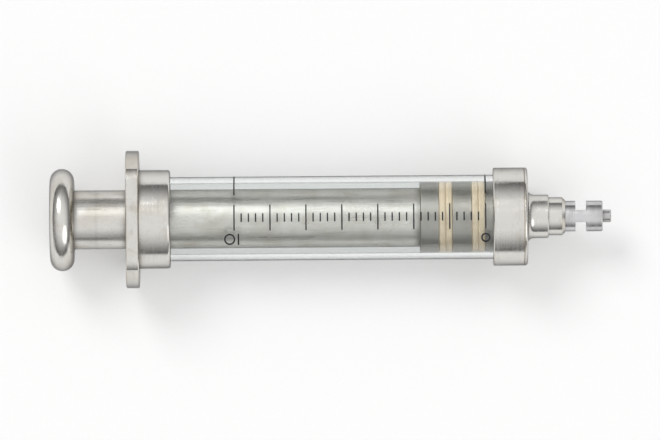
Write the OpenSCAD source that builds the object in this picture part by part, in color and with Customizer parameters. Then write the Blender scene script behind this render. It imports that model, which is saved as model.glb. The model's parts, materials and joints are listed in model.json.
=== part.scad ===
// Safety syringe of glass and plated brass, lying on the flat of its finger flange.
// The syringe's axis runs along X, with the thumb knob at -X and the locking nose at +X.
// A length along the axis is a station, counted from the back face of the thumb knob.

/* [Barrel] */
// Outer diameter of the glass barrel
barrel_od = 18; // [17.4:0.1:18.6]
// Wall of the glass barrel
barrel_wall = 1.3; // [1.1:0.05:1.5]
// Volume between the first and last line of the scale, in millilitres
capacity = 10; // [8:0.5:11]
// Bare glass between the rear collar and the last line
rear_gap = 13.7; // [11:0.1:18]
// Bare glass between the zero line and the front ferrule
zero_gap = 1.7; // [1.3:0.1:4]

/* [Scale] */
// Number of long divisions
long_divisions = 7; // [5:1:10]
// Number of short divisions in each long one
short_divisions = 5; // [2:1:8]
// Width of a line
line_w = 0.3; // [0.2:0.02:0.4]
// Length of a long line
long_line = 5.5; // [4.6:0.1:6.4]
// Length of a short line
short_line = 1.85; // [1.2:0.05:2.6]
// How far the middle of the lines lies above the axis in the view on the scale
line_rise = 0.2; // [0:0.05:0.5]
// Start of the end lines' upper strokes, above the axis
end_stroke_from = 5; // [4.2:0.1:6.5]
// Height of the digits at the zero line
zero_digit_h = 2; // [1.6:0.05:2.2]
// Height of the digits at the last line
last_digit_h = 2.4; // [1.8:0.05:2.6]
// How far the middle of the number at the last line lies behind that line
last_number_back = 0.55; // [0:0.05:0.8]
// Width of a digit's stroke
digit_stroke = 0.34; // [0.24:0.02:0.44]
// Distance of the digits' middle below the axis
digit_drop = 4.4; // [4.2:0.1:5.2]
// Height of the enamel above the glass
enamel_t = 0.04; // [0.03:0.01:0.08]

/* [Rear mount] */
// Wall of the rear collar
collar_wall = 1.45; // [1.3:0.05:2]
// Length of the rear collar
collar_l = 6.65; // [5.5:0.05:9]
// Rounding of the rear collar's front edge
collar_round = 0.5; // [0.2:0.05:0.8]
// Length of the finger flange over its round ends
flange_d = 29.4; // [26:0.2:34]
// How far the finger flange's two flats stand out past the rear collar
flat_rise = 0.45; // [0.3:0.05:1.5]
// Rounding between the finger flange's flats and its round ends
corner_round = 4; // [2:0.5:5]
// Thickness of the finger flange
flange_t = 2.8; // [2:0.1:4]
// Wall of the flange's threaded spigot
spigot_wall = 0.65; // [0.5:0.05:0.75]
// Length of the flange's threaded spigot
spigot_l = 2.5; // [1.6:0.1:3.2]
// Wall of the guide bush
bush_wall = 0.9; // [0.6:0.1:1.3]

/* [Front mount] */
// Wall of the front ferrule
ferrule_wall = 1.4; // [1.1:0.05:2]
// Length of the front ferrule
ferrule_l = 6.65; // [5.8:0.05:9]
// Thickness of the nozzle head's rim
rim_t = 0.7; // [0.7:0.05:1.2]
// Rounding of the rim's front edge
rim_round = 0.6; // [0.3:0.05:0.6]
// Length of the nozzle head's threaded plug
plug_l = 2.4; // [1.8:0.1:2.8]
// Diameter of the boss
boss_d = 9.3; // [9:0.1:11]
// Length of the boss
boss_l = 4.5; // [4:0.1:6]
// Fillet at the foot of the boss
boss_fillet = 1.4; // [0.6:0.1:1.8]
// Bore through the nozzle head
feed_d = 2; // [1.4:0.1:2.4]
// How far that bore flares out towards the barrel, all round
feed_flare = 2.2; // [1:0.1:3]
// Depth of the flare
feed_flare_l = 1.4; // [0.8:0.1:2]

/* [Locking nose] */
// Diameter of the gland nut
nut_d = 8.15; // [7.9:0.05:8.3]
// Length of the gland nut in front of the boss
nut_show = 3.55; // [2.5:0.05:5]
// Chamfer of the gland nut
nut_chamfer = 0.65; // [0.3:0.05:0.65]
// Depth of the gland in the boss
gland_depth = 4.1; // [3.4:0.1:4.4]
// Thickness of the gland washer
washer_t = 0.7; // [0.5:0.05:1]
// Thickness of the collar by which the gland nut holds the nose
nose_collar_t = 0.6; // [0.4:0.05:1]
// Diameter of the nose
nose_d = 6.55; // [6:0.05:6.6]
// Length of the nose between the gland nut and the notches
stem_show = 2.2; // [1.5:0.05:4]
// Width of the two notches along the nose
notch_w = 2.35; // [1.8:0.05:4]
// Thickness of the web that is left between the notches
web_t = 2.6; // [2.3:0.05:3.4]
// Length of the nose's head, in front of the notches
head_l = 3.45; // [2.8:0.05:5]
// Bore through the nose and the outlet tip
outlet_d = 1.2; // [0.8:0.05:1.5]
// Diameter of the outlet tip
tip_d = 2.7; // [2.5:0.05:3.4]
// Length of the outlet tip
tip_l = 1.85; // [1.2:0.05:3]
// Wall of the outlet tip's shank, inside the head
shank_wall = 0.4; // [0.3:0.05:0.45]
// Length of the outlet tip's shank
shank_l = 2.2; // [1.6:0.05:2.6]

/* [Plunger] */
// Diameter of the thumb knob
knob_d = 21.9; // [20:0.1:22]
// Thickness of the thumb knob
knob_t = 5.2; // [4.4:0.1:7]
// Outer diameter of the plunger rod
rod_d = 12.6; // [11.8:0.1:13]
// Wall of the plunger rod
rod_wall = 1; // [0.7:0.05:1.4]
// Rod in sight between the knob and the flange, pushed home
rod_show = 11.1; // [8:0.1:16]
// Diameter of the tie rod
tie_d = 4; // [3:0.1:4.4]
// Diameter of the tie nut
tie_nut_d = 7.1; // [6.4:0.1:8]
// Thickness of the tie nut
tie_nut_t = 2.6; // [2:0.1:3]
// Width of the slot in the tie nut
slot_w = 1; // [0.7:0.1:1.4]
// Depth of the slot in the tie nut
slot_depth = 0.8; // [0.5:0.1:1]
// Length of the spigots that enter the plunger rod
rod_spigot_l = 3; // [2:0.1:5]

/* [Piston] */
// Length of each leather packing
packing_l = 3; // [2:0.1:4]
// Length of the spacer's land
spacer_l = 4; // [2.5:0.1:5]
// Length of the back disc's land
disc_l = 4; // [2.5:0.1:5]
// Diameter of the hubs that carry the packings
hub_d = 8; // [6.5:0.1:9.5]
// Diameter of the nose's two spanner holes
spanner_d = 1.5; // [1:0.1:1.8]
// Depth of the nose's two spanner holes
spanner_depth = 1.5; // [1:0.1:2]
// Distance of each spanner hole from the axis
spanner_reach = 4.6; // [4.2:0.1:5.4]
// Depth to which the tie rod enters the nose
nose_thread_l = 4; // [2.5:0.1:4.2]

/* [Fits] */
// Thickness of the cement between the glass and its mounts
cement_t = 0.1; // [0.06:0.02:0.16]
// Thickness of the leather washers at the ends of the glass
gasket_t = 0.6; // [0.4:0.05:1]
// Radial clearance of a threaded or pressed seat
seat_gap = 0.03; // [0.02:0.01:0.05]
// Clearance of a piece that slides or turns
run_gap = 0.05; // [0.03:0.01:0.08]
// Radial clearance of the piston's metal discs
disc_gap = 0.1; // [0.08:0.01:0.2]
// Radial clearance of the piston's nose
nose_gap = 0.25; // [0.15:0.05:0.6]
// Gap between the piston and either end of its travel
stop_gap = 0.3; // [0.2:0.05:0.6]
// Small chamfer on turned edges
edge = 0.2; // [0.1:0.05:0.3]

/* [Hidden] */
$fn = 96;

nickel = [0.80, 0.79, 0.76];
steel = [0.70, 0.71, 0.73];
brass = [0.80, 0.64, 0.33];
leather = [0.80, 0.70, 0.53];
clear_glass = [0.85, 0.92, 0.93, 0.35];
enamel = [0.05, 0.05, 0.06];
plaster = [0.86, 0.83, 0.76];

// Bevel on either side of a seam
seam = 0.1;
// Bite between two shapes that are joined
overlap = 0.1;
// How far a cut runs past a face
past = 1;
// How far a rounding stands out past the faces that it joins, so that they cross
nick = 0.02;
// Least flat that is left beside a chamfer
least_land = 0.05;
// How far the tie rod stays below the floor of the tie nut's slot
tie_inset = 0.3;
// Space between a round digit and the one beside it
digit_space = 0.5;

// Radii
bore_r = barrel_od / 2 - barrel_wall;
cement_r = barrel_od / 2 + cement_t;
spigot_r = cement_r + spigot_wall;
collar_r = cement_r + collar_wall;
flat_r = collar_r + flat_rise;
ferrule_r = cement_r + ferrule_wall;
packing_r = bore_r - run_gap;
disc_r = bore_r - disc_gap;
nose_r = bore_r - nose_gap;
bush_r = rod_d / 2 + run_gap + bush_wall;
rod_bore_r = rod_d / 2 - rod_wall;
rod_spigot_r = rod_bore_r - seat_gap;
tie_hole_r = tie_d / 2 + seat_gap;
feed_mouth_r = feed_d / 2 + feed_flare;
gland_r = nut_d / 2 + seat_gap;
gland_fit_r = gland_r - seat_gap;
nut_bore_r = nose_d / 2 + seat_gap;
shank_r = outlet_d / 2 + shank_wall;

// The scale spans the stated volume of this bore
millilitre = 1000;
scale_l = capacity * millilitre / (PI * bore_r * bore_r);
line_count = long_divisions * short_divisions;
line_pitch = scale_l / line_count;

// Middle of a round corner of the finger flange, and its direction from the axis
corner_up = flat_r + nick - corner_round;
corner_reach = flange_d / 2 + nick - corner_round;
corner_out = sqrt(corner_reach * corner_reach - corner_up * corner_up);
corner_turn = atan2(corner_out, corner_up);

// Stations from the back of the knob to the tip of the outlet
knob_front = knob_t;
flange_back = knob_front + rod_show;
flange_front = flange_back + flange_t;
collar_front = flange_front + collar_l;
last_line = collar_front + rear_gap;
zero_line = last_line + scale_l;
ferrule_back = zero_line + zero_gap;
rim_back = ferrule_back + ferrule_l;
rim_front = rim_back + rim_t;
boss_front = rim_front + boss_l;
nut_front = boss_front + nut_show;
notch_back = nut_front + stem_show;
notch_front = notch_back + notch_w;
head_front = notch_front + head_l;
tip_front = head_front + tip_l;

// Stations inside the front mount
plug_back = rim_back - plug_l;
glass_back = flange_front + gasket_t;
glass_front = plug_back - gasket_t;
gland_floor = boss_front - gland_depth;
washer_front = gland_floor + washer_t;
nut_back = washer_front + nose_collar_t;
shank_back = head_front - shank_l;

// Stations of the piston, pushed home
nose_front = plug_back - stop_gap;
spacer_front = zero_line - packing_l;
spacer_back = spacer_front - spacer_l;
disc_front = spacer_back - packing_l;
piston_back = disc_front - disc_l;
tie_front = zero_line + nose_thread_l;
tie_back = slot_depth + tie_inset;

// Travel of the plunger from home to its stop on the flange
plunger_travel = piston_back - flange_front - stop_gap;

// The syringe lies on whatever reaches furthest, with its middle over the origin
axis_height = max(flat_r, knob_d / 2, ferrule_r);
middle = tip_front / 2;
echo(plunger_travel = plunger_travel, overall_l = tip_front, axis_height = axis_height);

// Puts a shape that is turned about Z onto the syringe's axis
module on_axis() {
    translate([-middle, 0, axis_height]) rotate([0, 90, 0]) children();
}

// Puts a shape drawn at stations along X onto the syringe's axis
module along_axis() {
    translate([-middle, 0, axis_height]) children();
}

module turned() {
    on_axis() rotate_extrude() children();
}

// Half section of a ring between two stations, with a chamfer on each outer corner
function ring(inner, outer, from, to, back = 0, front = 0) = concat(
    [[inner, from]],
    back > 0 ? [[outer - back, from], [outer, from + back]] : [[outer, from]],
    front > 0 ? [[outer, to - front], [outer - front, to]] : [[outer, to]],
    [[inner, to]]
);

// What is cut from the outer corner of a section to round it towards the front
module front_corner(outer, to, radius) {
    difference() {
        translate([outer - radius, to - radius]) square(radius + past);
        translate([outer - radius, to - radius]) circle(radius);
    }
}

// A thin shell on the glass, in which the enamel of the scale lies
module enamel_skin() {
    intersection() {
        on_axis() rotate_extrude()
            polygon(ring(barrel_od / 2, barrel_od / 2 + enamel_t, collar_front, ferrule_back));
        along_axis() children();
    }
}

module glass_barrel() {
    color(clear_glass) turned()
        polygon(concat(
            [[bore_r + edge, glass_back], [barrel_od / 2 - edge, glass_back]],
            [[barrel_od / 2, glass_back + edge], [barrel_od / 2, glass_front - edge]],
            [[barrel_od / 2 - edge, glass_front], [bore_r + edge, glass_front]],
            [[bore_r, glass_front - edge], [bore_r, glass_back + edge]]
        ));
}

module scale_line(station, from, to) {
    translate([station - line_w / 2, from, 0]) cube([line_w, to - from, barrel_od]);
}

module scale_lines() {
    color(enamel) enamel_skin() {
        for (i = [0 : line_count]) {
            half = (i % short_divisions == 0 ? long_line : short_line) / 2;
            scale_line(zero_line - i * line_pitch, line_rise - half, line_rise + half);
        }
        for (station = [zero_line, last_line])
            scale_line(station, end_stroke_from, barrel_od);
    }
}

module digit_zero(height) {
    linear_extrude(barrel_od) difference() {
        circle(d = height);
        circle(d = height - 2 * digit_stroke);
    }
}

module digit_one(height) {
    translate([-digit_stroke / 2, -height / 2, 0]) cube([digit_stroke, height, barrel_od]);
}

// The numbers are read with the nose to the left, so the one of the ten comes last along X
module scale_digits() {
    number_w = last_digit_h + digit_space + digit_stroke;
    number_back = last_line - last_number_back - number_w / 2;
    number_front = number_back + number_w;
    color(enamel) enamel_skin() {
        translate([zero_line, -digit_drop, 0]) digit_zero(zero_digit_h);
        translate([number_back + last_digit_h / 2, -digit_drop, 0]) digit_zero(last_digit_h);
        translate([number_front - digit_stroke / 2, -digit_drop, 0]) digit_one(last_digit_h);
    }
}

module rear_collar() {
    thread_front = flange_front + spigot_l + edge;
    color(nickel) turned() difference() {
        polygon(ring(cement_r, collar_r, flange_front, collar_front));
        translate([0, flange_front - past])
            square([spigot_r + seat_gap, thread_front - flange_front + past]);
        front_corner(collar_r, collar_front, collar_round);
    }
}

module rear_cement() {
    color(plaster) turned()
        polygon(ring(barrel_od / 2, cement_r, flange_front + spigot_l + edge, collar_front - edge));
}

module rear_gasket() {
    color(leather) turned()
        polygon(ring(bore_r + edge, barrel_od / 2, flange_front, glass_back));
}

// What is cut from one corner of the flange plate, so that a flat runs smoothly into a round end
module flange_corner(up, out) {
    reach = corner_round + past;
    wedge = [
        [0, 0], [reach, 0], [reach, reach * tan(corner_turn / 2)],
        [reach * cos(corner_turn), reach * sin(corner_turn)]
    ];
    on_axis() translate([up * corner_up, out * corner_out, 0]) difference() {
        translate([0, 0, flange_back - past]) linear_extrude(flange_t + 2 * past)
            polygon([for (p = wedge) [up * p.x, out * p.y]]);
        rotate_extrude() polygon([
            [0, flange_back - 2 * past], [corner_round - edge, flange_back - 2 * past],
            [corner_round - edge, flange_back], [corner_round, flange_back + edge],
            [corner_round, flange_front - edge], [corner_round - edge, flange_front],
            [corner_round - edge, flange_front + 2 * past], [0, flange_front + 2 * past]
        ]);
    }
}

// A round plate with two flats, which keep the syringe from rolling
module flange_plate() {
    difference() {
        intersection() {
            turned() polygon(ring(0, flange_d / 2, flange_back, flange_front, edge, edge));
            along_axis() rotate([90, 0, 0]) linear_extrude(flange_d, center = true) polygon([
                [flange_back, edge - flat_r], [flange_back + edge, -flat_r],
                [flange_front - edge, -flat_r], [flange_front, edge - flat_r],
                [flange_front, flat_r - edge], [flange_front - edge, flat_r],
                [flange_back + edge, flat_r], [flange_back, flat_r - edge]
            ]);
        }
        for (up = [-1, 1], out = [-1, 1])
            flange_corner(up, out);
    }
}

module finger_flange() {
    color(nickel) difference() {
        union() {
            flange_plate();
            turned() polygon(ring(cement_r, spigot_r, flange_front - edge, flange_front + spigot_l));
        }
        on_axis() translate([0, 0, flange_back - past])
            cylinder(r = bush_r + seat_gap, h = flange_t + 2 * past);
    }
}

module guide_bush() {
    color(brass) turned()
        polygon(ring(rod_d / 2 + run_gap, bush_r, flange_back, flange_front));
}

module front_ferrule() {
    color(nickel) turned()
        polygon(ring(cement_r, ferrule_r, ferrule_back, rim_back, edge, seam));
}

module front_cement() {
    color(plaster) turned()
        polygon(ring(barrel_od / 2, cement_r, ferrule_back + edge, glass_front - edge));
}

module front_gasket() {
    color(leather) turned()
        polygon(ring(bore_r + edge, barrel_od / 2, glass_front, plug_back));
}

// The plug that closes the barrel, its rim, and the boss that holds the gland
module nozzle_head() {
    fillet_r = boss_d / 2 + boss_fillet;
    color(nickel) turned() difference() {
        union() {
            polygon(ring(0, cement_r - seat_gap, plug_back, rim_back + overlap, edge, 0));
            difference() {
                polygon(ring(0, ferrule_r, rim_back, rim_front, seam, 0));
                front_corner(ferrule_r, rim_front, rim_round);
            }
            difference() {
                translate([0, rim_front - overlap]) square([fillet_r, boss_fillet + overlap]);
                translate([fillet_r, rim_front + boss_fillet]) circle(boss_fillet);
            }
            polygon(ring(0, boss_d / 2, rim_front, boss_front, 0, edge));
        }
        translate([0, plug_back - past]) square([feed_d / 2, boss_front - plug_back + 2 * past]);
        polygon([
            [0, plug_back - past], [feed_mouth_r, plug_back - past], [feed_mouth_r, plug_back],
            [feed_d / 2, plug_back + feed_flare_l], [0, plug_back + feed_flare_l]
        ]);
        translate([0, gland_floor]) square([gland_r, gland_depth + past]);
    }
}

module gland_washer() {
    color(leather) turned()
        polygon(ring(feed_d / 2 + edge, gland_fit_r, gland_floor, washer_front));
}

module gland_nut() {
    nut_wall = nut_d / 2 - nut_bore_r;
    chamfer = min(nut_chamfer, nut_wall - least_land);
    color(nickel) turned() polygon(ring(nut_bore_r, nut_d / 2, nut_back, nut_front, 0, chamfer));
}

// A round nose whose two notches, milled from opposite sides, take the lock of the needle's hub
module lock_nose() {
    color(steel) difference() {
        turned() difference() {
            union() {
                polygon(ring(0, gland_fit_r, washer_front, nut_back));
                polygon(ring(0, nose_d / 2, washer_front, head_front, 0, edge));
            }
            translate([0, washer_front - past])
                square([outlet_d / 2, head_front - washer_front + 2 * past]);
            translate([0, shank_back]) square([shank_r + seat_gap, shank_l + past]);
        }
        for (side = [-1, 1])
            along_axis() translate([notch_back + notch_w / 2, side * (web_t + nose_d) / 2, 0])
                cube([notch_w, nose_d, 2 * nose_d], center = true);
    }
}

module outlet_tip() {
    color(steel) turned() difference() {
        union() {
            polygon(ring(0, shank_r, shank_back, head_front + overlap));
            polygon(ring(0, tip_d / 2, head_front, tip_front, 0, edge));
        }
        translate([0, shank_back - past]) square([outlet_d / 2, tip_front - shank_back + 2 * past]);
    }
}

// A disc with a fully round rim, a seat for the tie nut and a spigot for the rod
module thumb_knob() {
    rim_r = knob_t / 2;
    color(nickel) turned() difference() {
        union() {
            square([knob_d / 2 - rim_r, knob_t]);
            translate([knob_d / 2 - rim_r, rim_r]) intersection() {
                circle(rim_r);
                translate([0, -rim_r]) square([rim_r, knob_t]);
            }
            polygon(ring(0, rod_spigot_r, knob_front - overlap, knob_front + rod_spigot_l, 0, edge));
        }
        translate([0, -past]) square([tie_hole_r, knob_front + rod_spigot_l + 2 * past]);
        translate([0, -past]) square([tie_nut_d / 2 + seat_gap, tie_nut_t + past]);
    }
}

module tie_nut() {
    color(steel) difference() {
        turned() difference() {
            polygon(ring(0, tie_nut_d / 2, 0, tie_nut_t, edge, 0));
            translate([0, tie_back]) square([tie_hole_r, tie_nut_t]);
        }
        along_axis() translate([slot_depth - past, -tie_nut_d, -slot_w / 2])
            cube([past, 2 * tie_nut_d, slot_w]);
    }
}

module tie_rod() {
    color(steel) turned() polygon(ring(0, tie_d / 2, tie_back, tie_front));
}

module plunger_rod() {
    color(nickel) turned()
        polygon(ring(rod_bore_r, rod_d / 2, knob_front, piston_back));
}

module piston_back_disc() {
    spigot_back = piston_back - rod_spigot_l;
    color(nickel) turned() difference() {
        union() {
            polygon(ring(0, rod_spigot_r, spigot_back, piston_back + overlap));
            polygon(ring(0, disc_r, piston_back, disc_front, edge, 0));
            polygon(ring(0, hub_d / 2, disc_front - overlap, spacer_back));
        }
        translate([0, spigot_back - past]) square([tie_hole_r, spacer_back - spigot_back + 2 * past]);
    }
}

module piston_spacer() {
    color(nickel) turned() difference() {
        union() {
            polygon(ring(0, disc_r, spacer_back, spacer_front));
            polygon(ring(0, hub_d / 2, spacer_front - overlap, zero_line));
        }
        translate([0, spacer_back - past]) square([tie_hole_r, zero_line - spacer_back + 2 * past]);
    }
}

module piston_nose() {
    color(nickel) difference() {
        turned() difference() {
            polygon(ring(0, nose_r, zero_line, nose_front, 0, 2 * edge));
            translate([0, zero_line - past]) square([tie_hole_r, nose_thread_l + past]);
        }
        for (side = [-1, 1])
            on_axis() translate([0, side * spanner_reach, nose_front - spanner_depth])
                cylinder(d = spanner_d, h = spanner_depth + past);
    }
}

// A leather ring with room to turn on its hub
module packing(from) {
    color(leather) turned()
        polygon(ring(hub_d / 2 + run_gap, packing_r, from + run_gap, from + packing_l - run_gap));
}

module rear_packing() {
    packing(disc_front);
}

module front_packing() {
    packing(spacer_front);
}

glass_barrel();
scale_lines();
scale_digits();
rear_collar();
rear_cement();
rear_gasket();
finger_flange();
guide_bush();
front_ferrule();
front_cement();
front_gasket();
nozzle_head();
gland_washer();
gland_nut();
lock_nose();
outlet_tip();
thumb_knob();
tie_nut();
tie_rod();
plunger_rod();
piston_back_disc();
piston_spacer();
piston_nose();
rear_packing();
front_packing();
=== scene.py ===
import json
import math

import bmesh
import bpy
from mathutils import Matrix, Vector, noise


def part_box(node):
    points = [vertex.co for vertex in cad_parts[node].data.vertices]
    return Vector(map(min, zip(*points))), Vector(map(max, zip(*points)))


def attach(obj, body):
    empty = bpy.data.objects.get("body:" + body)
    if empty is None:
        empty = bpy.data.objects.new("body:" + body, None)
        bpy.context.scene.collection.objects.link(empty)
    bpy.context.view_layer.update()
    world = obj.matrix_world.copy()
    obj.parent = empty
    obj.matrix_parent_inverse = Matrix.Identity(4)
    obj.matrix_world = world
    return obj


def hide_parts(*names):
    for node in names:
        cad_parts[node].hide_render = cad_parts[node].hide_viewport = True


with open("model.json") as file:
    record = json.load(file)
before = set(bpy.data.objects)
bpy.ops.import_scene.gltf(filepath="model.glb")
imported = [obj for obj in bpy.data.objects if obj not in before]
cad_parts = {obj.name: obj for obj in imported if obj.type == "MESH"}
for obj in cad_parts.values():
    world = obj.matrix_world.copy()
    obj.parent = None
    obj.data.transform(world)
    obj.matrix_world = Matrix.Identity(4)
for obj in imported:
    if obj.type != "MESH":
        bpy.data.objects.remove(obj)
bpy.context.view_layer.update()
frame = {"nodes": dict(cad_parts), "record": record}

MM = 0.001
NODES = frame["nodes"]
RECORD = frame["record"]

# The syringe's axis lies along X at this height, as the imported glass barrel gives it.
AXIS_Z = sum(corner.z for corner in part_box("glass_barrel")) / 2

# The camera looks straight down on the scale. Its picture is this wide at the axis's height.
LENS_MM = 600.0
SENSOR_MM = 36.0
VIEW_WIDTH = 141.3 * MM
VIEW_CENTRE = (-0.12 * MM, -0.43 * MM)
VIEW_ROLL = math.radians(-0.45)
VIEW_NEAR = 0.1
VIEW_FAR = 10.0

# Light: how bright the sky is at the horizon and overhead, and the far lamps as
# (name, where from, how wide in degrees, strength).
SKY_EDGE = (0.13, 0.13, 0.132)
SKY_TOP = (0.94, 0.94, 0.94)
LAMPS = (
    ("key_lamp", (-0.55, 0.75, 1.05), 26.0, 1.06),
    ("fill_lamp", (0.70, -0.70, 0.90), 40.0, 0.48),
)

# The floor: its size, how far it lies below the syringe, and how much it glows in sight lines.
FLOOR_RADIUS = 3.0
FLOOR_SEGMENTS = 96
FLOOR_DROP = 0.05 * MM
FLOOR_GLOW = 0.25

# The metals' colours where they are clean, dull, and rubbed at the edges.
NICKEL = {"polish": (0.72, 0.705, 0.67), "tarnish": (0.54, 0.50, 0.43), "worn": (0.76, 0.62, 0.38)}
BRASS = {"polish": (0.75, 0.58, 0.29), "tarnish": (0.46, 0.32, 0.14), "worn": (0.86, 0.70, 0.40)}
STEEL = {"polish": (0.66, 0.66, 0.67), "tarnish": (0.44, 0.42, 0.40), "worn": (0.78, 0.78, 0.79)}
# The metals' reflection at grazing angles, turned dark grey: painted shade along their outlines.
METAL_RIM_PAINTED_SHADE = (0.32, 0.32, 0.33)
# How dark the pits, tool lines, grime and the painted shade in corners are, as a share of the
# tarnish colour.
GRIME_AND_PAINTED_SHADE = 0.28

# How far the softened edges, the rubbed edges and the dull corners of metal reach; the corners are
# darker with grime and with painted shade.
EDGE_ROUND = 0.07 * MM
RUBBED_WIDTH = 0.35 * MM
CORNER_REACH = 1.6 * MM

# Leather washers: the node, how many layers it has, and the radius of their rims' corners.
WASHERS = (
    ("rear_packing", 2, 0.42 * MM),
    ("front_packing", 2, 0.42 * MM),
    ("rear_gasket", 1, 0.12 * MM),
    ("front_gasket", 1, 0.12 * MM),
    ("gland_washer", 1, 0.14 * MM),
)
RIM_STEPS = 5
RING_STEPS = 180
RING_CREASE = math.radians(50)

# Dents in a washer: how deep they go, how many there are round it and along each millimetre
# of the axis, and how far apart the dents of two washers are drawn from the noise.
DENT_DEPTH = 0.03 * MM
DENTS_ROUND = 5
DENTS_ALONG = 0.7
DENT_STRIDE = 7.3

# The colour sockets of a Mix node share their names with others, so they go by number.
MIX_FACTOR, MIX_FIRST, MIX_SECOND, MIX_RESULT = 0, 6, 7, 2

SOCKETS = {
    "base_color": "Base Color",
    "metallic": "Metallic",
    "roughness": "Roughness",
    "ior": "IOR",
    "normal": "Normal",
    "transmission": "Transmission Weight",
    "sheen": "Sheen Weight",
    "sheen_roughness": "Sheen Roughness",
    "specular": "Specular IOR Level",
    "grazing": "Specular Tint",
}


def rgba(value):
    """A colour with its alpha, where the value is a plain colour of three numbers."""
    if isinstance(value, (tuple, list)) and len(value) == 3:
        return (*value, 1.0)
    return value


class Nodes:
    """The node tree of a material or a world, with short calls for its nodes."""

    def __init__(self, owner):
        owner.use_nodes = True
        self.tree = owner.node_tree
        self.tree.nodes.clear()

    def add(self, kind, **settings):
        """Adds a node and sets its properties."""
        node = self.tree.nodes.new(kind)
        for key, value in settings.items():
            setattr(node, key, value)
        return node

    def feed(self, socket, value):
        """Links an output to a socket, or sets the socket to a plain value."""
        if isinstance(value, bpy.types.NodeSocket):
            self.tree.links.new(value, socket)
        else:
            socket.default_value = value

    def maths(self, operation, *values, clamp=False):
        """The result of a Math node."""
        node = self.add("ShaderNodeMath", operation=operation, use_clamp=clamp)
        for socket, value in zip(node.inputs, values):
            self.feed(socket, value)
        return node.outputs[0]

    def share(self, value, part):
        """A part of the value, such as 0.5 for half of it."""
        return self.maths("MULTIPLY", value, part)

    def ranged(self, value, low, high, to_low=0.0, to_high=1.0):
        """The value eased from one range to another, and held inside it."""
        node = self.add("ShaderNodeMapRange", interpolation_type="SMOOTHSTEP")
        for key, number in (
            ("Value", value),
            ("From Min", low),
            ("From Max", high),
            ("To Min", to_low),
            ("To Max", to_high),
        ):
            self.feed(node.inputs[key], number)
        return node.outputs[0]

    def blend(self, factor, first, second):
        """A mix of two colours."""
        node = self.add("ShaderNodeMix", data_type="RGBA")
        self.feed(node.inputs[MIX_FACTOR], factor)
        self.feed(node.inputs[MIX_FIRST], rgba(first))
        self.feed(node.inputs[MIX_SECOND], rgba(second))
        return node.outputs[MIX_RESULT]

    def put_out(self, kind, shader):
        """Ends the tree with an output node of this kind."""
        self.feed(self.add(kind).inputs["Surface"], shader)


class Finish(Nodes):
    """A material's nodes. Scales count per metre, so 1000 gives marks about 1 mm apart."""

    def __init__(self, name):
        self.material = bpy.data.materials.new(name)
        super().__init__(self.material)
        self.place = self.add("ShaderNodeTexCoord").outputs["Object"]

    def stretched(self, along, side, up):
        """The surface's place, scaled by itself along the axis, sideways and upwards."""
        node = self.add("ShaderNodeVectorMath", operation="MULTIPLY")
        self.feed(node.inputs[0], self.place)
        self.feed(node.inputs[1], (along, side, up))
        return node.outputs[0]

    def turned(self):
        """Place as (along the axis, out from it, 0), so that marks run round as on a lathe."""
        split = self.add("ShaderNodeSeparateXYZ")
        self.feed(split.inputs[0], self.place)
        side = split.outputs[1]
        up = self.maths("SUBTRACT", split.outputs[2], AXIS_Z)
        squares = self.maths(
            "ADD", self.maths("MULTIPLY", side, side), self.maths("MULTIPLY", up, up)
        )
        join = self.add("ShaderNodeCombineXYZ")
        self.feed(join.inputs[0], split.outputs[0])
        self.feed(join.inputs[1], self.maths("SQRT", squares))
        return join.outputs[0]

    def noise(self, vector, scale=1.0, detail=3.0, roughness=0.5, distortion=0.0):
        """Soft noise, mostly from 0.25 to 0.75."""
        node = self.add("ShaderNodeTexNoise")
        for key, value in (
            ("Vector", vector),
            ("Scale", scale),
            ("Detail", detail),
            ("Roughness", roughness),
            ("Distortion", distortion),
        ):
            self.feed(node.inputs[key], value)
        return node.outputs[0]

    def cells(self, vector, scale=1.0, feature="F1"):
        """Distance to the nearest point, or edge, of a cell pattern."""
        node = self.add("ShaderNodeTexVoronoi", feature=feature)
        self.feed(node.inputs["Vector"], vector)
        self.feed(node.inputs["Scale"], scale)
        return node.outputs["Distance"]

    def bump(self, height, distance, strength=1.0, under=None):
        """A normal bent by a height, on top of another normal where one is given."""
        node = self.add("ShaderNodeBump")
        self.feed(node.inputs["Height"], height)
        self.feed(node.inputs["Distance"], distance)
        self.feed(node.inputs["Strength"], strength)
        if under is not None:
            self.feed(node.inputs["Normal"], under)
        return node.outputs[0]

    def rounded(self, radius):
        """A normal that turns smoothly over edges, as if they were rounded by the radius."""
        bevel = self.add("ShaderNodeBevel", samples=4)
        self.feed(bevel.inputs["Radius"], radius)
        return bevel.outputs[0]

    def edges(self, radius):
        """1 on sharp edges, 0 on open surfaces."""
        dot = self.add("ShaderNodeVectorMath", operation="DOT_PRODUCT")
        self.feed(dot.inputs[0], self.rounded(radius))
        self.feed(dot.inputs[1], self.add("ShaderNodeNewGeometry").outputs["Normal"])
        return self.ranged(dot.outputs["Value"], 0.98, 0.75)

    def shade_in_corners(self, distance):
        """1 deep in corners and joints, 0 in the open: ambient occlusion, which is how much shade
        falls there.
        """
        shade = self.add("ShaderNodeAmbientOcclusion", samples=6)
        self.feed(shade.inputs["Distance"], distance)
        return self.ranged(shade.outputs["AO"], 0.9, 0.3)

    def surface(self, **sockets):
        """The Principled shader, with its sockets given by name."""
        node = self.add("ShaderNodeBsdfPrincipled")
        for key, value in sockets.items():
            self.feed(node.inputs[SOCKETS[key]], rgba(value))
        return node.outputs[0]

    def clear(self, colour):
        """A shader that only tints what is straight behind it."""
        node = self.add("ShaderNodeBsdfTransparent")
        self.feed(node.inputs["Color"], rgba(colour))
        return node.outputs[0]

    def mixed(self, factor, first, second):
        """A mix of two shaders."""
        node = self.add("ShaderNodeMixShader")
        for socket, value in zip(node.inputs, (factor, first, second)):
            self.feed(socket, value)
        return node.outputs[0]

    def done(self, shader):
        """Puts the shader out and returns the material."""
        self.put_out("ShaderNodeOutputMaterial", shader)
        return self.material


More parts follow.
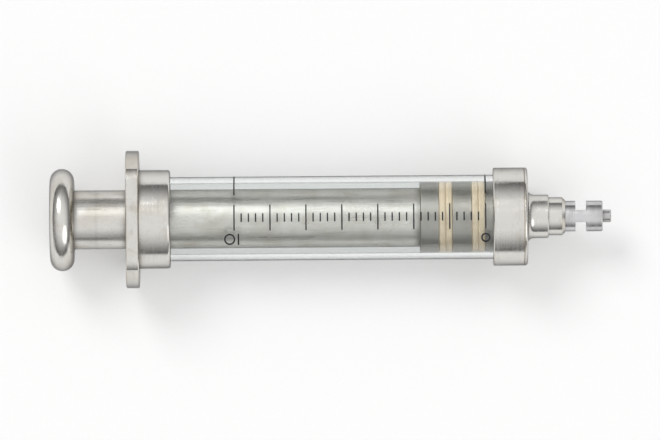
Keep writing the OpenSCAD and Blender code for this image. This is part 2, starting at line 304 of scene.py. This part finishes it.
def turned_metal(name, polish, tarnish, worn, roughness, groove, wear, slid=False):
    """Metal off a lathe: fine rings, a drifting polish, scratches, pits, and dull corners darkened
    by grime and painted shade.

    polish, tarnish and worn are the colours of the clean metal, of the dull metal and of the
    edges, which are rubbed as far as wear says. groove is the depth of the rings.
    A slid rod has long, fine marks along its axis instead of strong rings.
    """
    f = Finish(name)
    lathe = f.turned()
    fine = f.noise(lathe, scale=9000.0, detail=2.0)
    coarse = f.noise(lathe, scale=1700.0, detail=4.0, roughness=0.6)
    tool_marks = f.noise(lathe, scale=650.0, detail=2.0, roughness=0.7)
    tool_lines = f.ranged(tool_marks, 0.60, 0.68)
    rings = f.maths("ADD", f.share(fine, 0.35), coarse)
    rings = f.maths("SUBTRACT", rings, f.share(tool_lines, 0.5))
    along = f.noise(f.stretched(along=28.0, side=2600.0, up=2600.0), detail=4.0, roughness=0.65)
    drift = f.noise(f.place, scale=140.0, detail=5.0, roughness=0.6, distortion=0.4)
    blotch = f.noise(f.place, scale=420.0, detail=6.0, roughness=0.68, distortion=0.8)
    smear = f.noise(f.stretched(along=60.0, side=420.0, up=420.0), detail=4.0, roughness=0.65)
    nicks = f.ranged(f.cells(f.stretched(along=240.0, side=1500.0, up=1500.0)), 0.06, 0.0)
    scratches = f.ranged(f.cells(f.stretched(along=70.0, side=1900.0, up=1300.0)), 0.07, 0.0)
    worked = f.maths("MAXIMUM", nicks, scratches)
    pit_edges = f.maths("ADD", f.cells(f.place, scale=1100.0), f.share(blotch, 0.20))
    pits = f.ranged(pit_edges, 0.18, 0.11)
    # Ambient occlusion finds the corners and joints; the colour goes dark there as painted shade,
    # which also stands for grime.
    corner_grime_and_shade = f.shade_in_corners(CORNER_REACH)
    rubbed = f.ranged(drift, 0.35, 0.6, to_low=0.2, to_high=wear)
    rubbed = f.maths("MULTIPLY", f.edges(RUBBED_WIDTH), rubbed)

    dark_grime_and_shade = [part * GRIME_AND_PAINTED_SHADE for part in tarnish]
    marks = f.maths("MAXIMUM", f.share(pits, 0.8), f.share(tool_lines, 0.10))
    colour = f.blend(f.ranged(drift, 0.44, 0.70, to_high=0.60), polish, tarnish)
    colour = f.blend(f.ranged(blotch, 0.56, 0.74, to_high=0.45), colour, tarnish)
    # Pits and tool lines go dark; corners and joints go dark with grime and painted shade.
    colour = f.blend(f.maths("MAXIMUM", marks, f.share(corner_grime_and_shade, 0.6)), colour, dark_grime_and_shade)
    colour = f.blend(rubbed, colour, worn)

    lined = along if slid else coarse
    rough = f.ranged(smear, 0.35, 0.75, to_low=roughness * 0.75, to_high=roughness * 1.45)
    rough = f.maths("ADD", rough, f.ranged(lined, 0.35, 0.70, to_low=-0.03, to_high=0.08))
    rough = f.maths("ADD", rough, f.ranged(blotch, 0.50, 0.75, to_high=0.10))
    rough = f.maths("ADD", rough, f.share(corner_grime_and_shade, 0.22))
    rough = f.maths("ADD", rough, f.share(worked, 0.12), clamp=True)

    relief = f.maths("ADD", f.share(rings, 0.3), along) if slid else rings
    normal = f.bump(relief, distance=groove, under=f.rounded(EDGE_ROUND))
    normal = f.bump(worked, distance=-0.004 * MM, strength=0.7, under=normal)
    normal = f.bump(pits, distance=-0.02 * MM, strength=0.6, under=normal)
    normal = f.bump(drift, distance=0.02 * MM, strength=0.35, under=normal)
    return f.done(
        f.surface(
            base_color=colour,
            metallic=1.0,
            roughness=rough,
            normal=normal,
            # A dark grazing tint: painted shade along the outlines.
            grazing=METAL_RIM_PAINTED_SHADE,
        )
    )


def drawn_glass():
    """Almost clear glass, dark at its rims with painted shade, with faint draw lines, specks and a
    few smears.

    Light from the lamps passes straight through, so that what is inside is lit.
    """
    pale_tint = (0.955, 0.975, 0.968)
    paler_tint = (0.970, 0.984, 0.980)
    # The rims' dark colours are painted shade, in place of the dark surroundings that the edges of
    # glass show.
    rim_painted_shade_colour = (0.05, 0.07, 0.065)
    rim_painted_shade = (0.04, 0.055, 0.05)
    shadow_tint = (0.93, 0.95, 0.94)

    f = Finish("drawn_glass")
    draw = f.noise(f.stretched(along=25.0, side=900.0, up=900.0), detail=3.0)
    waves = f.noise(f.place, scale=160.0, detail=2.0)
    smears = f.noise(f.stretched(along=70.0, side=260.0, up=260.0), detail=5.0, roughness=0.65)
    specks = f.ranged(f.cells(f.place, scale=520.0), 0.07, 0.03)
    film = f.ranged(smears, 0.50, 0.85, to_high=0.05)
    rough = f.maths("ADD", film, f.share(specks, 0.12), clamp=True)
    facing = f.add("ShaderNodeLayerWeight")
    f.feed(facing.inputs["Blend"], 0.5)
    grazing = facing.outputs["Facing"]
    tint = f.blend(waves, pale_tint, paler_tint)
    # The colour goes dark towards grazing: painted shade at the rims.
    tint = f.blend(f.maths("POWER", grazing, 3.2), tint, rim_painted_shade_colour)
    normal = f.bump(draw, distance=0.003 * MM, strength=0.4)
    normal = f.bump(waves, distance=0.02 * MM, strength=0.4, under=normal)
    glass = f.surface(
        base_color=tint, roughness=rough, ior=1.50, transmission=1.0, normal=normal
    )
    # Near grazing a dark see-through shader is mixed in: more painted shade at the rims.
    rim = f.ranged(grazing, 0.66, 1.0, to_high=0.85)
    glass = f.mixed(rim, glass, f.clear(rim_painted_shade))
    lamp_ray = f.add("ShaderNodeLightPath").outputs["Is Shadow Ray"]
    return f.done(f.mixed(lamp_ray, glass, f.clear(shadow_tint)))


def fired_enamel():
    """Black enamel, a little uneven in gloss, with pinholes and thin spots."""
    black = (0.018, 0.018, 0.022)
    thin_spot = (0.075, 0.075, 0.085)
    pinhole = (0.12, 0.12, 0.125)

    f = Finish("fired_enamel")
    cloud = f.noise(f.place, scale=900.0, detail=4.0, roughness=0.6)
    pits = f.ranged(f.cells(f.place, scale=5200.0), 0.20, 0.08)
    colour = f.blend(f.ranged(cloud, 0.58, 0.78, to_high=0.55), black, thin_spot)
    colour = f.blend(pits, colour, pinhole)
    rough = f.ranged(cloud, 0.3, 0.75, to_low=0.36, to_high=0.60)
    normal = f.bump(cloud, distance=0.01 * MM, strength=0.6)
    normal = f.bump(pits, distance=-0.01 * MM, strength=0.6, under=normal)
    return f.done(f.surface(base_color=colour, roughness=rough, specular=0.3, normal=normal))


def greased_leather():
    """Pale leather: fibres and pores, darker where grease gathers."""
    pale = (0.80, 0.70, 0.54)
    tan = (0.62, 0.48, 0.31)
    pore = (0.34, 0.24, 0.15)
    fibre = (0.88, 0.80, 0.66)
    greasy = (0.42, 0.30, 0.17)

    f = Finish("greased_leather")
    patches = f.noise(f.place, scale=320.0, detail=5.0, roughness=0.6, distortion=0.6)
    fibres = f.noise(f.stretched(along=2600.0, side=900.0, up=900.0), detail=6.0, roughness=0.7)
    pore_edges = f.maths("ADD", f.cells(f.place, scale=2600.0), f.share(fibres, 0.45))
    pores = f.ranged(pore_edges, 0.46, 0.28)
    creases = f.ranged(f.cells(f.place, scale=1500.0, feature="DISTANCE_TO_EDGE"), 0.0, 0.12)
    grease = f.ranged(patches, 0.55, 0.8)
    colour = f.blend(patches, pale, tan)
    colour = f.blend(f.share(pores, 0.6), colour, pore)
    colour = f.blend(f.ranged(fibres, 0.55, 0.8, to_high=0.4), colour, fibre)
    colour = f.blend(f.share(grease, 0.5), colour, greasy)
    rough = f.ranged(grease, 0.0, 1.0, to_low=0.72, to_high=0.38)
    normal = f.bump(fibres, distance=0.05 * MM, strength=0.6)
    normal = f.bump(creases, distance=0.03 * MM, strength=0.7, under=normal)
    normal = f.bump(pores, distance=-0.03 * MM, strength=0.8, under=normal)
    return f.done(
        f.surface(
            base_color=colour,
            roughness=rough,
            normal=normal,
            sheen=0.15,
            sheen_roughness=0.5,
        )
    )


def hard_cement():
    """White cement: matt and grainy, with pinholes and grey specks."""
    white = (0.86, 0.83, 0.76)
    stained = (0.72, 0.69, 0.61)
    speck = (0.50, 0.47, 0.42)
    pinhole = (0.36, 0.33, 0.29)

    f = Finish("hard_cement")
    cloud = f.noise(f.place, scale=420.0, detail=6.0, roughness=0.65)
    grit = f.noise(f.place, scale=5200.0, detail=3.0)
    holes = f.ranged(f.cells(f.place, scale=2300.0), 0.18, 0.06)
    colour = f.blend(cloud, white, stained)
    colour = f.blend(f.ranged(grit, 0.62, 0.75, to_high=0.5), colour, speck)
    colour = f.blend(f.share(holes, 0.7), colour, pinhole)
    normal = f.bump(grit, distance=0.03 * MM, strength=0.7)
    normal = f.bump(holes, distance=-0.06 * MM, strength=0.8, under=normal)
    return f.done(f.surface(base_color=colour, roughness=0.86, normal=normal))


def pale_floor():
    """A plain pale sheet that keeps the shadow.

    Sight lines see it near white, whether they are straight, mirrored or through glass.
    """
    pale = (0.945, 0.945, 0.94)
    less_pale = (0.915, 0.915, 0.91)

    f = Finish("pale_floor")
    fibres = f.noise(f.place, scale=1400.0, detail=4.0)
    paper = f.surface(
        base_color=f.blend(fibres, pale, less_pale),
        roughness=0.9,
        specular=0.2,
        normal=f.bump(fibres, distance=0.01 * MM, strength=0.4),
    )
    glow = f.add("ShaderNodeEmission")
    path = f.add("ShaderNodeLightPath").outputs
    sight = f.maths("MAXIMUM", path["Is Camera Ray"], path["Is Glossy Ray"])
    sight = f.maths("MAXIMUM", sight, path["Is Transmission Ray"])
    return f.done(f.mixed(f.share(sight, FLOOR_GLOW), paper, glow.outputs[0]))


def make_finishes():
    """The material of each slot in the record, and of a node that differs from its slot."""
    return {
        "clear_glass": drawn_glass(),
        "black_enamel": fired_enamel(),
        "nickel_plate": turned_metal(
            "nickel_on_brass", **NICKEL, roughness=0.18, groove=0.012 * MM, wear=0.75
        ),
        "plunger_rod": turned_metal(
            "slid_nickel", **NICKEL, roughness=0.30, groove=0.008 * MM, wear=0.75, slid=True
        ),
        "bare_brass": turned_metal(
            "turned_brass", **BRASS, roughness=0.24, groove=0.010 * MM, wear=0.6
        ),
        "bright_steel": turned_metal(
            "polished_steel", **STEEL, roughness=0.20, groove=0.008 * MM, wear=0.7
        ),
        "pale_leather": greased_leather(),
        "plaster_cement": hard_cement(),
    }


def put_in_scene(name, data):
    """An object for the data, linked to the scene."""
    obj = bpy.data.objects.new(name, data)
    bpy.context.scene.collection.objects.link(obj)
    return obj


def ring_of(node):
    """A turned CAD node's two ends along the axis, and its inner and outer radius."""
    low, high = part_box(node)
    radii = [math.hypot(v.co.y, v.co.z - AXIS_Z) for v in NODES[node].data.vertices]
    return low.x, high.x, min(radii), max(radii)


def washer_profile(node, layers, soft):
    """The outline of a stack of soft washers in a node's space.

    It is a closed loop of (along, out) points. Each layer's rim has corners of the radius
    soft, so that a groove shows between two layers.
    """
    start, end, inner, outer = ring_of(node)
    thick = (end - start) / layers
    quarter = [math.pi / 2 * step / RIM_STEPS for step in range(RIM_STEPS + 1)]
    profile = [(start, inner)]
    for layer in range(layers):
        left = start + layer * thick
        right = left + thick
        core = outer - soft
        profile += [(left + soft * (1 - math.cos(t)), core + soft * math.sin(t)) for t in quarter]
        profile += [(right - soft * (1 - math.sin(t)), core + soft * math.cos(t)) for t in quarter]
    return [*profile, (end, inner)]


def revolved(name, profile, uneven, seed):
    """A ring swept round the axis from a closed loop of (along, out) points.

    It is drawn in here and there, by up to uneven.
    """
    build = bmesh.new()
    loops = []
    for step in range(RING_STEPS):
        turn = 2 * math.pi * step / RING_STEPS
        side, up = math.cos(turn), math.sin(turn)
        loop = []
        for along, out in profile:
            spot = (along / MM * DENTS_ALONG + seed, side * DENTS_ROUND, up * DENTS_ROUND)
            dent = (1 + noise.noise(Vector(spot))) / 2
            out -= uneven * dent
            loop.append(build.verts.new((along, out * side, AXIS_Z + out * up)))
        loops.append(loop)
    after = [*range(1, len(profile)), 0]
    for here, there in zip(loops, loops[1:] + loops[:1]):
        for a, b in enumerate(after):
            build.faces.new((here[a], here[b], there[b], there[a]))
    bmesh.ops.recalc_face_normals(build, faces=build.faces)
    mesh = bpy.data.meshes.new(name)
    build.to_mesh(mesh)
    build.free()
    mesh.shade_smooth()
    mesh.set_sharp_from_angle(angle=RING_CREASE)
    return put_in_scene(name, mesh)


def dress(obj, slot, finishes):
    """Gives an object the finish of a slot."""
    obj.data.materials.clear()
    obj.data.materials.append(finishes[slot])


def dress_nodes(finishes):
    """Gives each CAD node the finish that the record names for it, or its own."""
    for part in RECORD["subparts"]:
        node = part["node"]
        dress(NODES[node], node if node in finishes else part["material_slot"], finishes)


def add_washers(finishes):
    """Replaces the plain leather rings with soft, layered ones."""
    bodies = RECORD["behaviour"]["bodies"]
    for number, (node, layers, soft) in enumerate(WASHERS):
        profile = washer_profile(node, layers, soft)
        seed = number * DENT_STRIDE
        piece = revolved(f"{node}_leather", profile, uneven=DENT_DEPTH, seed=seed)
        dress(piece, "pale_leather", finishes)
        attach(piece, next(body for body, nodes in bodies.items() if node in nodes))
        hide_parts(node)


def add_floor():
    """The floor that the syringe lies on."""
    build = bmesh.new()
    bmesh.ops.create_circle(
        build, cap_ends=True, segments=FLOOR_SEGMENTS, radius=FLOOR_RADIUS
    )
    mesh = bpy.data.meshes.new("floor")
    build.to_mesh(mesh)
    build.free()
    floor = put_in_scene("floor", mesh)
    floor.location.z = -FLOOR_DROP
    mesh.materials.append(pale_floor())


def add_sky():
    """A plain studio sky, bright overhead and grey at the horizon."""
    world = bpy.data.worlds.new("studio")
    sky = Nodes(world)
    split = sky.add("ShaderNodeSeparateXYZ")
    sky.feed(split.inputs[0], sky.add("ShaderNodeTexCoord").outputs["Generated"])
    rise = sky.ranged(split.outputs[2], 0.0, 1.0)
    glow = sky.add("ShaderNodeBackground")
    sky.feed(glow.inputs["Color"], sky.blend(rise, SKY_EDGE, SKY_TOP))
    sky.put_out("ShaderNodeOutputWorld", glow.outputs[0])
    bpy.context.scene.world = world


def add_lamps():
    """Wide, far lamps, which give soft shadows and light the whole floor evenly."""
    for name, where_from, width, strength in LAMPS:
        data = bpy.data.lights.new(name, "SUN")
        data.angle = math.radians(width)
        data.energy = strength
        lamp = put_in_scene(name, data)
        lamp.location = where_from
        lamp.rotation_euler = (-Vector(where_from)).to_track_quat("-Z", "Y").to_euler()


def add_camera():
    """The camera at the drawing's viewing angle, straight above the scale."""
    data = bpy.data.cameras.new("drawing_camera")
    data.lens = LENS_MM
    data.sensor_width = SENSOR_MM
    data.clip_start = VIEW_NEAR
    data.clip_end = VIEW_FAR
    camera = put_in_scene("drawing_camera", data)
    camera.location = (*VIEW_CENTRE, AXIS_Z + VIEW_WIDTH * LENS_MM / SENSOR_MM)
    camera.rotation_euler = (0.0, 0.0, VIEW_ROLL)
    bpy.context.scene.camera = camera


bpy.context.scene.view_settings.view_transform = "Standard"
add_camera()
add_sky()
add_lamps()
add_floor()
finishes = make_finishes()
dress_nodes(finishes)
add_washers(finishes)
